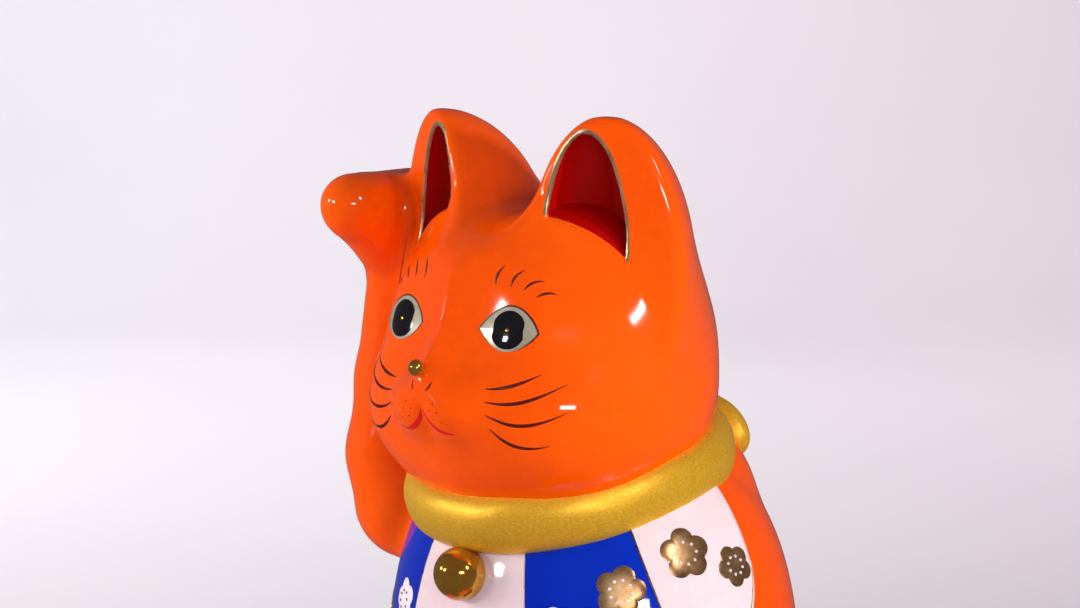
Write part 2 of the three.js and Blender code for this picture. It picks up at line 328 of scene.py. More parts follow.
def relax(field, points, tris):
    """Evens out the mesh along the surface and returns it to the surface."""
    for _ in range(2):
        total, count = np.zeros_like(points), np.zeros(len(points))
        for a, b in ((0, 1), (1, 2), (2, 0)):
            for i, j in ((a, b), (b, a)):
                np.add.at(total, tris[:, i], points[tris[:, j]])
                np.add.at(count, tris[:, i], 1)
        mean = total / np.maximum(count, 1)[:, None]
        points = settle(field, points + 0.6 * (mean - points), steps=2)
    return points


def clip(points, tris, side):
    """Keeps the part of a triangle mesh where side is negative, cutting triangles along its zero."""
    value = side(points)
    value = np.where(np.abs(value) < 1e-6, 1e-6, value)
    keep = (value < 0)[tris]
    count = keep.sum(1)
    out = [tris[count == 3]]
    cuts, base = [], len(points)
    pairs = []

    def cut(a, b):
        """Numbers of the new points on edges a-b; the same edge always gives the same key."""
        pairs.append(np.sort(np.stack([a, b], -1), 1))
        return slice(sum(len(x) for x in pairs[:-1]), sum(len(x) for x in pairs))

    for lone_kept, wanted in ((True, 1), (False, 2)):
        rows, marks = tris[count == wanted], keep[count == wanted]
        if not len(rows):
            continue
        lone = np.argmax(marks if lone_kept else ~marks, axis=1)
        order = (lone[:, None] + np.arange(3)) % 3
        a, b, c = np.take_along_axis(rows, order, 1).T
        cuts.append((lone_kept, a, b, c, cut(a, b), cut(a, c)))
    if not cuts:
        return points, out[0]
    keys, number = np.unique(np.concatenate(pairs), axis=0, return_inverse=True)
    number = number.reshape(-1)
    va, vb = value[keys[:, 0]], value[keys[:, 1]]
    t = (va / (va - vb))[:, None]
    fresh = points[keys[:, 0]] * (1 - t) + points[keys[:, 1]] * t
    for lone_kept, a, b, c, ab, ac in cuts:
        x, y = base + number[ab], base + number[ac]
        if lone_kept:
            out.append(np.stack([a, x, y], -1))
        else:
            out += [np.stack([x, b, c], -1), np.stack([x, c, y], -1)]
    return compact(np.concatenate([points, fresh]), np.concatenate(out))


def compact(points, tris):
    used, number = np.unique(tris, return_inverse=True)
    return points[used], number.reshape(tris.shape)


def grid_triangles(rows, cols):
    index = np.arange(rows * cols).reshape(rows, cols)
    a, b, c, d = index[:-1, :-1], index[:-1, 1:], index[1:, 1:], index[1:, :-1]
    return np.concatenate([np.stack([a, d, b], -1).reshape(-1, 3), np.stack([b, d, c], -1).reshape(-1, 3)])


def thicken(points, tris, normals, depth):
    """A closed shell: the surface, its copy pushed inwards, and a rim between their borders."""
    n = len(points)
    edges = np.concatenate([tris[:, [0, 1]], tris[:, [1, 2]], tris[:, [2, 0]]])
    _, first, count = np.unique(np.sort(edges, 1), axis=0, return_index=True, return_counts=True)
    rim = edges[first[count == 1]]
    a, b = rim.T
    walls = np.concatenate([np.stack([a, a + n, b], -1), np.stack([b, a + n, b + n], -1)])
    inner = points - normals * depth
    return (np.concatenate([points, inner]), np.concatenate([tris, tris[:, ::-1] + n, walls]),
            np.concatenate([normals, -normals]))


def make(name, points, faces, material, normals, stands_for=()):
    """One piece of the figurine, which rides on the only body."""
    mesh = bpy.data.meshes.new(name)
    mesh.from_pydata((np.asarray(points) * M_PER_MM).tolist(), [], [list(map(int, f)) for f in faces])
    mesh.polygons.foreach_set("use_smooth", [True] * len(mesh.polygons))
    if normals is not None:
        mesh.normals_split_custom_set_from_vertices(np.asarray(normals).tolist())
    mesh.materials.append(material)
    mesh.update()
    piece = bpy.data.objects.new(name, mesh)
    bpy.context.scene.collection.objects.link(piece)
    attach(piece, "root")
    if stands_for:
        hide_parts(*stands_for)
    return piece


# ---------------------------------------------------------------- materials
def colour(*shade):
    """Linear colour from 0-255 display values."""
    linear = [c / 255 / 12.92 if c <= 10 else ((c / 255 + 0.055) / 1.055) ** 2.4 for c in shade]
    return (*linear, 1.0)


class Look:
    """A procedural material under construction, with one Principled shader."""

    def __init__(self, name, **values):
        self.material = bpy.data.materials.new(name)
        self.material.use_nodes = True
        self.nodes, self.links = self.material.node_tree.nodes, self.material.node_tree.links
        self.shader = self.nodes["Principled BSDF"]
        self.place = self.nodes.new("ShaderNodeTexCoord").outputs["Object"]
        for socket, value in values.items():
            self.shader.inputs[socket.replace("_", " ")].default_value = value

    def stretched(self, scale, turn):
        mapping = self.nodes.new("ShaderNodeMapping")
        mapping.inputs["Scale"].default_value = scale
        mapping.inputs["Rotation"].default_value = turn
        self.links.new(self.place, mapping.inputs["Vector"])
        return mapping.outputs["Vector"]

    def noise(self, scale, detail=2.0, roughness=0.5, vector=None):
        node = self.nodes.new("ShaderNodeTexNoise")
        node.inputs["Scale"].default_value = scale
        node.inputs["Detail"].default_value = detail
        node.inputs["Roughness"].default_value = roughness
        self.links.new(self.place if vector is None else vector, node.inputs["Vector"])
        return node.outputs["Fac"]

    def ramp(self, fac, stops):
        """Stops is a list of (place, red, green, blue)."""
        node = self.nodes.new("ShaderNodeValToRGB")
        stack = node.color_ramp.elements
        while len(stack) < len(stops):
            stack.new(0.5)
        for element, (at, *shade) in zip(stack, stops):
            element.position, element.color = at, colour(*shade)
        self.links.new(fac, node.inputs["Fac"])
        return node.outputs["Color"]

    def along(self, vector):
        """Distance along a direction, in metres."""
        node = self.nodes.new("ShaderNodeVectorMath")
        node.operation = "DOT_PRODUCT"
        node.inputs[1].default_value = vector
        self.links.new(self.place, node.inputs[0])
        return node.outputs["Value"]

    def level(self, fac, low, high, from_low=0.3, from_high=0.7):
        node = self.nodes.new("ShaderNodeMapRange")
        sockets = ("From Min", "From Max", "To Min", "To Max")
        for socket, value in zip(sockets, (from_low, from_high, low, high)):
            node.inputs[socket].default_value = value
        self.links.new(fac, node.inputs["Value"])
        return node.outputs["Result"]

    def multiply(self, a, b):
        node = self.nodes.new("ShaderNodeMix")
        node.data_type, node.blend_type = "RGBA", "MULTIPLY"
        node.inputs["Factor"].default_value = 1.0
        self.links.new(a, node.inputs["A"])
        self.links.new(b, node.inputs["B"])
        return node.outputs["Result"]

    def bump(self, heights):
        """Heights is a list of (field, depth in millimetres)."""
        normal = None
        for fac, depth in heights:
            node = self.nodes.new("ShaderNodeBump")
            node.inputs["Strength"].default_value = 1.0
            node.inputs["Distance"].default_value = depth * M_PER_MM
            self.links.new(fac, node.inputs["Height"])
            if normal is not None:
                self.links.new(normal, node.inputs["Normal"])
            normal = node.outputs["Normal"]
        self.links.new(normal, self.shader.inputs["Normal"])

    def use(self, socket, output):
        self.links.new(output, self.shader.inputs[socket])


GLAZE_IOR = 1.42


def fired_glaze(name, stops, ripple=0.05, rough=(0.05, 0.11), sheen=1.0, specular=0.5):
    """Glossy fired glaze: cloudy colour, fine mottling, a faint ripple and a fine grain in relief."""
    look = Look(name, IOR=GLAZE_IOR, Specular_IOR_Level=specular,
                Coat_Weight=0.1 * sheen, Coat_Roughness=0.03)
    tint = look.ramp(look.noise(14, 2.0, 0.5), stops)
    mottling = [(0.3, 247, 247, 247), (0.7, 255, 255, 255)]
    fine = look.ramp(look.noise(260, 3.0, 0.6), mottling)
    look.use("Base Color", look.multiply(tint, fine))
    look.use("Roughness", look.level(look.noise(90, 2.0), *rough))
    look.bump([(look.noise(35, 1.0), ripple), (look.noise(420, 2.0), 0.004)])
    return look.material


def gilt(name, stops, rough, scale, bumps, vector=None, grain=None, metal=1.0):
    """Fired gold or lustre: colour that drifts, uneven gloss and fine relief."""
    look = Look(name, Metallic=metal)
    coords = look.stretched(*vector) if vector else None
    look.use("Base Color", look.ramp(look.noise(scale, 4.0, 0.65, coords), stops))
    look.use("Roughness", look.level(look.noise(grain or scale * 1.7, 3.0, 0.6, coords), *rough))
    look.bump([(look.noise(s, 3.0, 0.6, coords), d) for s, d in bumps])
    return look.material


ORANGE = fired_glaze(
    "orange_glaze",
    [(0.32, 240, 76, 0), (0.50, 244, 82, 0), (0.70, 248, 89, 2)])
WHITE = fired_glaze("white_glaze", [(0.3, 228, 202, 207), (0.7, 238, 217, 221)], ripple=0.03)
BLUE = fired_glaze("blue_enamel", [(0.3, 0, 34, 158), (0.7, 2, 46, 186)], ripple=0.03)
RED = fired_glaze("red_enamel", [(0.3, 150, 0, 0), (0.7, 182, 3, 2)],
                  ripple=0.03, rough=(0.45, 0.6), sheen=0.0, specular=0.12)
LINE = fired_glaze("liner_brown", [(0.3, 58, 8, 2), (0.7, 96, 14, 4)], rough=(0.3, 0.4), sheen=0.0)
LIP = fired_glaze("lip_red", [(0.3, 206, 10, 6), (0.7, 228, 26, 16)], rough=(0.2, 0.3), sheen=0.0)
BLACK = fired_glaze("black_lustre", [(0.3, 10, 10, 14), (0.7, 26, 24, 28)], rough=(0.03, 0.07))
DOTS = fired_glaze("white_dots", [(0.3, 226, 214, 222), (0.7, 246, 238, 244)])
COLLAR_GOLD = gilt(
    "satin_gold", [(0.25, 228, 160, 22), (0.5, 240, 182, 44), (0.75, 250, 206, 82)],
    (0.36, 0.5), scale=1100, vector=((1.0, 1.0, 2.0), (NECK_TILT, 0, 0)),
    bumps=((40, 0.10), (150, 0.04), (1800, 0.012)), grain=1300, metal=0.55)
BRIGHT = gilt(
    "bright_gold", [(0.3, 186, 128, 38), (0.7, 226, 172, 74)],
    (0.07, 0.14), scale=120, bumps=((60, 0.02), (500, 0.004)), metal=0.9)
BRONZE = gilt(
    "bronze_lustre", [(0.28, 128, 90, 56), (0.5, 164, 124, 84), (0.74, 200, 164, 120)],
    (0.2, 0.36), scale=140, bumps=((300, 0.012),), metal=0.8)
GILT_LINE = gilt(
    "gilt_line", [(0.3, 176, 142, 100), (0.7, 224, 196, 152)],
    (0.24, 0.4), scale=220, bumps=((400, 0.01),), metal=0.85)
SILVER = gilt(
    "champagne_lustre", [(0.3, 196, 184, 152), (0.7, 234, 226, 204)],
    (0.12, 0.22), scale=180, bumps=((400, 0.006),), metal=0.6)
DARK_GILT = gilt(
    "dark_gilt", [(0.3, 70, 44, 22), (0.7, 128, 90, 46)],
    (0.2, 0.36), scale=200, bumps=((400, 0.01),))


# ---------------------------------------------------------------- glazed forms
LAP, TUCK = 0.4, 0.04  # how far one glazed piece runs on under the next, and how deep it ends up there


def form(name, spacing, low, high, sides, material, stands_for=(), depth=3.0, seam=None):
    """The part of the glazed surface where every side is negative, as a closed shell.

    Past its seam, the shell runs on a little and dips under the neighbouring piece.
    """
    points, tris = surface_net(glaze, np.array(low, float), np.array(high, float), spacing * COARSE)
    points = settle(glaze, points)
    points = relax(glaze, points, tris)
    for side in sides + ([lambda p: seam(p) - LAP] if seam else []):
        points, tris = clip(points, tris, side)
    points = settle(glaze, points, steps=2)
    normals = unit(gradient(glaze, points))
    if seam:
        points = points - normals * (TUCK * np.clip(seam(points) / LAP, 0, 1))[:, None]
    shell = thicken(points, tris, normals, depth)
    return make(name, shell[0], shell[1], material, shell[2], stands_for)


def nearest(own, *others):
    """A side that is negative where own is the closest of the fields."""
    return lambda p: own(p) - np.minimum.reduce([f(p) for f in others])


GILT_INNER, GILT_OUTER = 0.10, 1.45  # the gilt line round an ear, measured from its hollow
GILT_FOOT = 5.3  # and where it stops, measured from the head


def lining_side(p):
    return ear_mouth(p, skull(p)) - GILT_INNER


def gilding_side(p):
    hollow = ear_hollow(p)
    return np.maximum(np.maximum(GILT_INNER - hollow, hollow - GILT_OUTER), GILT_FOOT - skull(p))


VENT_RADIUS, VENT_Y = 9.0, 14.0  # the air hole in the base


def vent_side(p):
    away = np.hypot(p[..., 0], p[..., 1] - VENT_Y)
    return np.where(p[..., 2] < 3, VENT_RADIUS - away, -VENT_RADIUS)


def box_around(node, grow):
    low, high = corners(node)
    return low - grow, high + grow


def build_glazed_forms():
    low, high = box_around("torso_shell", 4)
    form("torso", 1.7, low, high, [above_neck, vent_side], ORANGE, ["torso_shell"],
         seam=nearest(body, arm, foreleg, hind_feet, tail))
    low, high = box_around("head_shell", 7)
    form("head", 1.15, low, high, [lambda p: -above_neck(p)], ORANGE, ["head_shell"],
         seam=nearest(skull, ears, arm))
    for side in ("left", "right"):
        low, high = box_around(f"{side}_ear", 4)
        form(f"{side}_ear_glaze", 0.75, low, high,
             [nearest(ears, skull, arm), lambda p: -gilding_side(p), lambda p: -lining_side(p)],
             ORANGE, [f"{side}_ear"], depth=1.2)
        form(f"{side}_ear_gilding", 0.75, low, high, [gilding_side], GILT_LINE, depth=0.5)
        form(f"{side}_ear_lining", 0.75, low, high, [lining_side], RED, depth=0.8)
        low, high = box_around(f"{side}_hind_foot", 3)
        form(f"{side}_foot", 1.2, low, high, [nearest(hind_feet, body, foreleg, tail)],
             ORANGE, [f"{side}_hind_foot"])
    low, high = box_around("raised_arm", 4)
    form("arm_and_paw", 1.2, low, high, [nearest(arm, body, head)], ORANGE, ["raised_arm"])
    low, high = box_around("left_foreleg", 3)
    form("foreleg", 1.2, low, high, [nearest(foreleg, body, hind_feet)],
         ORANGE, ["left_foreleg"])
    low, high = box_around("tail", 3)
    form("tail_curl", 1.2, low, high, [nearest(tail, body, hind_feet)], ORANGE, ["tail"])


# ---------------------------------------------------------------- bib
BIB_HALF = math.radians(93.5)
BIB_SHOULDER, BIB_DROP, BIB_ROUND = 124.0, 56.0, 2.2
BIB_RELIEF = 0.9
SEAMS = (21.7, 58.6)  # degrees from the front, at the height where the seams are measured
SEAM_Z, SEAM_FLARE = 118.0, 0.0055
COLUMN, EDGE = math.radians(1.1), 1.2  # width of a column of the mesh, and of a panel's rounded border
ROOT = 0.15  # how deep a panel's border starts below the body
MM_PER_RADIAN = 50  # round the body, about
COLLAR_REACH, COLLAR_COVER = 46, 3.0  # where the collar crosses the body, and how far it covers the bib
PANEL_CLEAR, LINE_CLEAR = 0.5, 3.4  # how near the raised arm a panel and a gilt line may come


def round_body(angle, z, level):
    """The point at this angle and height where the body's field reaches the level."""
    angle, z, level = np.broadcast_arrays(angle, z, level)
    out = np.stack([np.sin(angle), -np.cos(angle), np.zeros_like(angle)], -1)
    base = np.stack([np.zeros_like(z), np.full_like(z, BODY[1]), z], -1).astype(float)
    near, far = np.zeros_like(z, float), np.full_like(z, 95.0, dtype=float)
    for _ in range(HALVINGS):
        half = (near + far) / 2
        inside = body(base + out * half[..., None]) < level
        near, far = np.where(inside, half, near), np.where(inside, far, half)
    return base + out * near[..., None]


def flared(share, z):
    """Angle of a meridian that flares a little towards the hem, and hardly at the bib's side edges."""
    hold = np.clip((np.abs(share) - math.radians(SEAMS[1])) / (BIB_HALF - math.radians(SEAMS[1])), 0, 1)
    return share * (1 + SEAM_FLARE * (1 - hold) * (SEAM_Z - z))


def hem_height(share):
    inner = 1 - np.minimum(np.abs(share) / BIB_HALF, 1) ** BIB_ROUND
    return BIB_SHOULDER - BIB_DROP * inner ** (1 / BIB_ROUND)


def bib_top(angle):
    back = BODY[1] - COLLAR_REACH * np.cos(angle) - NECK[1]
    return NECK[2] - COLLAR_COVER + math.tan(NECK_TILT) * back


def bib_point(share, down, level):
    """down is 0 under the collar and 1 at the hem."""
    hem, top = hem_height(share), bib_top(share)
    z = top + (hem - top) * down
    return round_body(flared(share, z), z, level)


def bib_panel(name, start, end, material, open_start, open_end):
    """One panel of the bib, in relief, with rounded outer edges."""
    share = np.linspace(start, end, int(abs(end - start) / COLUMN) + 2)
    down = np.concatenate([np.linspace(0, 0.97, 60), [0.98, 0.988, 0.995, 1.0]])
    s, d = np.meshgrid(share, down)
    span = np.maximum(bib_top(s) - hem_height(s), 1)
    reach = (1 - d) * span
    if open_start:
        reach = np.minimum(reach, np.abs(s - start) * MM_PER_RADIAN)
    if open_end:
        reach = np.minimum(reach, np.abs(end - s) * MM_PER_RADIAN)
    soft = np.clip(reach / EDGE, 0, 1)
    level = -ROOT + (BIB_RELIEF + ROOT) * np.sqrt(np.clip(1 - (1 - soft) ** 2, 0, 1))
    points = bib_point(s, d, level)
    normals = unit(np.cross(np.gradient(points, axis=1), -np.gradient(points, axis=0)))
    outward = gradient(body, points)
    normals = np.where((normals * outward).sum(-1, keepdims=True) < 0, -normals, normals)
    tris = grid_triangles(*s.shape)
    points, normals = points.reshape(-1, 3), normals.reshape(-1, 3)
    keep = arm(points)[tris].min(1) > PANEL_CLEAR
    shell = thicken(points, tris[keep], normals, 0.8)
    used, number = np.unique(shell[1], return_inverse=True)
    return make(name, shell[0][used], number.reshape(shell[1].shape), material, shell[2][used])


def bib_field(p):
    return body(p) - BIB_RELIEF


# ---------------------------------------------------------------- strokes and decals on a surface
SUNK = 0.06  # how deep the border of a stroke or a patch ends below its surface
STROKE_HEIGHT, PAINT_DEPTH = 0.09, 0.25
CURVE_POINTS = 24


def ribbon(path, width, field, height):
    """A raised brush stroke along a path. Width is one number, or one for each point."""
    path = settle(field, np.asarray(path, float))
    ahead = np.roll(path, -1, 0) - np.roll(path, 1, 0)
    ahead[0], ahead[-1] = path[1] - path[0], path[-1] - path[-2]
    side = unit(np.cross(unit(gradient(field, path)), unit(ahead)))
    width = np.broadcast_to(width, len(path))
    across = np.array([-1, -0.75, -0.35, 0, 0.35, 0.75, 1])
    rows = []
    for share in across:
        lift = (height + SUNK) * math.sqrt(1 - share * share) - SUNK
        rows.append(settle(field, path + side * (share * width / 2)[:, None], lift, 3))
    points = np.stack(rows, 1)
    return oriented(points.reshape(-1, 3), grid_triangles(*points.shape[:2]), field)


def decal(centre, outline, field, level=0.0, height=0.15, rings=6, around=60, spin=0.0, power=6):
    """A raised patch about a point. Outline gives the radius for each angle."""
    centre = settle(field, np.asarray(centre, float)[None], level)[0]
    normal = unit(gradient(field, centre[None]))[0]
    across = unit(np.cross([0, 0, 1.0], normal))
    up = np.cross(normal, across)
    angle = np.arange(around) * 2 * math.pi / around
    radius = outline(angle)
    share = np.sqrt(np.linspace(0, 1, rings + 1)[1:])
    u = np.outer(share, radius * np.cos(angle))
    v = np.outer(share, radius * np.sin(angle))
    c, s = math.cos(spin), math.sin(spin)
    u, v = c * u - s * v, s * u + c * v
    flat = centre + u[..., None] * across + v[..., None] * up
    lift = level - SUNK + (height + SUNK) * (1 - share ** power)
    points = [settle(field, centre[None], level + height, 3)]
    for k in range(rings):
        points.append(settle(field, flat[k], lift[k], 5))
    tris = [(0, 1 + i, 1 + (i + 1) % around) for i in range(around)]
    for k in range(rings - 1):
        base = 1 + k * around
        for i in range(around):
            j = (i + 1) % around
            near, far = (base + i, base + j), (base + around + i, base + around + j)
            tris += [(near[0], far[0], near[1]), (near[1], far[0], far[1])]
    return oriented(np.concatenate(points), np.array(tris), field)


def oriented(points, tris, field):
    """Winds the triangles outwards and gives smooth normals."""
    a, b, c = points[tris[:, 0]], points[tris[:, 1]], points[tris[:, 2]]
    face = np.cross(b - a, c - a)
    out = gradient(field, (a + b + c) / 3)
    if (face * out).sum() < 0:
        tris, face = tris[:, ::-1], -face
    normals = np.zeros_like(points)
    for k in range(3):
        np.add.at(normals, tris[:, k], face)
    return points, tris, unit(normals)


def joined(parts):
    points, tris, normals, base = [], [], [], 0
    for p, t, n in parts:
        points.append(p)
        tris.append(t + base)
        normals.append(n)
        base += len(p)
    return np.concatenate(points), np.concatenate(tris), np.concatenate(normals)


def painted(name, parts, material, stands_for=()):
    """Several strokes or patches as one closed painted piece."""
    points, tris, normals = joined([thicken(*part, PAINT_DEPTH) for part in parts])
    return make(name, points, tris, material, normals, stands_for)


def on_face(x, z):
    """Points on the front of the head at these places, seen from straight ahead."""
    x, z = np.asarray(x, float), np.asarray(z, float)
    near, far = np.full(x.shape, -60.0), np.full(x.shape, 0.0)
    for _ in range(HALVINGS):
        half = (near + far) / 2
        outside = glaze(np.stack([x, half, z], -1)) > 0
        near, far = np.where(outside, half, near), np.where(outside, far, half)
    return np.stack([x, near, z], -1)


def curve(knots):
    """A smooth curve along a few knots, as rows of numbers."""
    knots = np.asarray(knots, float)
    along = np.concatenate([[0], np.cumsum(np.linalg.norm(np.diff(knots, axis=0), axis=1))])
    fit = np.polyfit(along, knots, min(len(knots) - 1, 3))
    at = np.linspace(0, along[-1], CURVE_POINTS)
    return np.stack([np.polyval(terms, at) for terms in fit.T], -1)


def brush(count, width):
    """Widths along a stroke that swells at its belly."""
    belly, thin_start, thin_end = 0.45, 0.25, 0.12
    t = np.linspace(0, 1, count)
    rise = np.where(t < belly, t / belly, (1 - t) / (1 - belly))
    ends = np.where(t < belly, thin_start, thin_end)
    return width * (ends + (1 - ends) * np.sin(rise * math.pi / 2))


# Strokes on the left of the face, as (distance from the middle, height); the right is their mirror image.
WHISKERS = [
    [(17.8, 166.6), (24.5, 167.6), (32.0, 171.2)],
    [(18.4, 163.2), (27.5, 163.4), (37.7, 168.7)],
    [(18.7, 159.7), (28.5, 157.4), (39.2, 161.4)],
    [(19.6, 155.9), (27.2, 151.5), (35.1, 152.2)],
]
BROWS = [
    [(14.1, 193.9), (14.1, 196.8), (15.5, 199.1)],
    [(18.9, 193.6), (19.4, 196.2), (21.2, 198.0)],
    [(23.0, 192.9), (24.6, 194.9), (26.9, 195.3)],
    [(26.7, 191.2), (28.6, 192.2), (30.8, 191.8)],
]
MOUTH = [(0.3, 160.2), (1.6, 157.4), (4.6, 154.9), (8.0, 153.8), (10.8, 154.3)]
NOSTRIL = [(3.6, 167.9), (3.2, 166.4), (2.4, 165.3)]
FRECKLES = [(5.2, 162.0), (3.6, 160.0), (6.6, 159.8), (4.8, 157.8), (7.6, 157.2)]
FRECKLE_RADIUS = 0.32


def face_strokes(rows, sign, width):
    parts = []
    for row in rows:
        x, z = curve(row).T
        parts.append(ribbon(on_face(sign * x, z), brush(len(x), width), glaze, STROKE_HEIGHT))
    return parts


def build_face():
    for side, sign in (("left", 1), ("right", -1)):
        painted(f"{side}_whiskers", face_strokes(WHISKERS, sign, 1.15), LINE)
        painted(f"{side}_brow", face_strokes(BROWS, sign, 0.9), LINE)
        painted(f"{side}_mouth", face_strokes([MOUTH], sign, 1.9), LIP)
        painted(f"{side}_nostril", face_strokes([NOSTRIL], sign, 0.7), LINE)
        places = on_face([sign * x for x, _ in FRECKLES], [z for _, z in FRECKLES])
        spots = [decal(place, disc(FRECKLE_RADIUS), glaze, height=0.08, rings=3, around=12, power=2)
                 for place in places]
        painted(f"{side}_freckles", spots, LINE)
        build_eye(side, sign)


EYE_X, EYE_Z = 20.7, 182.1
EYE_WIDE, EYE_UP, EYE_DOWN = 9.3, 6.5, 5.8
IRIS, PUPIL = 5.6, 0.8
LID_GAP = 0.3  # between the iris and the edge of the eye
LINE_GROW = 0.6  # how far the painted outline stands out from the eye


def almond(angle, grow=0.0):
    """Radius of the eye's outline: two arcs that meet in pointed corners."""
    wide, up, down = EYE_WIDE + grow * 2.2, EYE_UP + grow * 1.6, EYE_DOWN + grow * 0.7
    near, far = np.zeros_like(angle), np.full_like(angle, wide)
    c, s = np.cos(angle), np.sin(angle)
    high = np.where(s > 0, up, down)
    for _ in range(HALVINGS):
        half = (near + far) / 2
        inside = np.abs(half * s) < high * np.maximum(1 - (np.abs(half * c) / wide) ** 2.0, 0) ** 0.92
        near, far = np.where(inside, half, near), np.where(inside, far, half)
    return np.maximum(near, 0.02)


def build_eye(side, sign):
    """A painted outline, the lustre in relief, and on it the iris and the pupil."""
    centre = on_face([sign * EYE_X], [EYE_Z])[0]
    outline = decal(centre, lambda a: almond(a, LINE_GROW), glaze, height=0.14, around=120)
    painted(f"{side}_eye_outline", [outline], LINE)
    white = decal(centre, almond, glaze, level=0.16, height=0.35, around=120, power=3)
    painted(f"{side}_eye_lustre", [white], SILVER, stands_for=[f"{side}_eye"])

    def iris(angle):
        """A round iris, held inside the lids with soft corners."""
        return (IRIS ** -10 + (almond(angle) - LID_GAP) ** -10) ** -0.1

    painted(f"{side}_iris", [decal(centre, iris, glaze, level=0.40, height=0.32, around=120, power=2.5)],
            BLACK)
    pupil = decal(centre, disc(PUPIL), glaze, level=0.70, height=0.14, rings=4, around=20, power=2)
    painted(f"{side}_pupil", [pupil], BRIGHT)


# ---------------------------------------------------------------- blossoms on the bib
PETALS, PETAL_RADIUS, PETAL_OUT = 5, 3.6, 4.3  # five round petals, and how far out their centres lie
DOT_COUNT, DOT_RADIUS, DOT_RING = 8, 0.5, 0.41  # the dots of a blossom; their ring as a share of its size


def disc(radius):
    return lambda angle: radius + 0 * angle


def blossom_outline(size):
    def radius(angle):
        pitch = 2 * math.pi / PETALS
        off = (angle - math.pi / 2 + pitch / 2) % pitch - pitch / 2
        far_side = PETAL_OUT * np.cos(off) + np.sqrt(PETAL_RADIUS ** 2 - (PETAL_OUT * np.sin(off)) ** 2)
        return size * far_side / (PETAL_OUT + PETAL_RADIUS)
    return radius


def bib_place(degrees, z):
    return round_body(np.array([math.radians(degrees)]), np.array([float(z)]), BIB_RELIEF)[0]


def blossom(degrees, z, size, spin):
    centre = bib_place(degrees, z)
    outline = blossom_outline(size)
    return decal(centre, outline, bib_field, height=0.22, rings=7, around=100, spin=spin, power=7)


def dots(degrees, z, ring, spin):
    """A ring of raised dots inside a blossom."""
    centre = bib_place(degrees, z)
    normal = unit(gradient(bib_field, centre[None]))[0]
    across = unit(np.cross([0, 0, 1.0], normal))
    up = np.cross(normal, across)
    turns = [spin + 2 * math.pi * k / DOT_COUNT for k in range(DOT_COUNT)]
    return [decal(centre + ring * (math.cos(a) * across + math.sin(a) * up), disc(DOT_RADIUS), bib_field,
                  level=0.18, height=0.4, rings=4, around=14, power=2) for a in turns]


# degrees from the front, height, size, turn
GOLD_BLOSSOMS = [(71, 120.9, 7.6, 0.1), (86, 116.5, 6.2, 0.5), (51.5, 111.5, 7.4, -0.2), (10, 96.5, 7.4, 0.0),
                 (72, 100, 6.6, 0.6), (-10, 82, 6.8, 0.4)]
WHITE_BLOSSOMS = [(33, 100.5, 6.6, 0.2), (46, 88, 6.2, 0.5)]
MIRRORED_GOLD = [(-51.5, 94, 7.4, -0.2), (-72, 95.5, 5.2, 0.6)]
MIRRORED_WHITE = [(-33, 100.5, 6.6, 0.2), (-46, 88, 6.2, 0.5)]


def build_bib():
    a, b = (math.radians(s) for s in SEAMS)
    first = bib_panel("bib_middle", -a, a, WHITE, False, False)
    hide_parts("bib")
    bib_panel("bib_blue_left", a, b, BLUE, False, False)
    bib_panel("bib_blue_right", -b, -a, BLUE, False, False)
    bib_panel("bib_side_left", b, BIB_HALF, WHITE, False, True)
    bib_panel("bib_side_right", -BIB_HALF, -b, WHITE, True, False)
    down = np.linspace(0.02, 0.985, 60)
    seams = {"thin": [], "bold": []}
    for sign in (1, -1):
        for at, kind, width in ((a, "thin", 0.35), (b, "bold", 0.6)):
            path = bib_point(np.full_like(down, sign * at), down, BIB_RELIEF)
            path = path[arm(path) > LINE_CLEAR]
            if len(path) > 3:
                seams[kind].append(ribbon(path, width, bib_field, STROKE_HEIGHT))
    painted("bib_seams_inner", seams["thin"], GILT_LINE)
    painted("bib_seams_outer", seams["bold"], DARK_GILT)
    share = np.linspace(-BIB_HALF * 0.985, BIB_HALF * 0.985, 160)
    span = bib_top(share) - hem_height(share)
    path = bib_point(share, 1 - 3.0 / np.maximum(span, 8), BIB_RELIEF)
    path = path[arm(path) > LINE_CLEAR]
    painted("bib_hem_line", [ribbon(path, 0.5, bib_field, STROKE_HEIGHT)], GILT_LINE)
    gold = GOLD_BLOSSOMS + MIRRORED_GOLD
    white = WHITE_BLOSSOMS + MIRRORED_WHITE
    painted("blossoms_gold", [blossom(*row) for row in gold], BRONZE)
    painted("blossoms_white", [blossom(*row) for row in white], DOTS)
    for name, rows, material, slot in (("blossom_dots", gold, DOTS, "white_glaze"),
                                       ("blossom_stamens", white, BRONZE, "bright_gold")):
        rings = [dots(degrees, z, size * DOT_RING, spin) for degrees, z, size, spin in rows]
        painted(name, sum(rings, []), material)


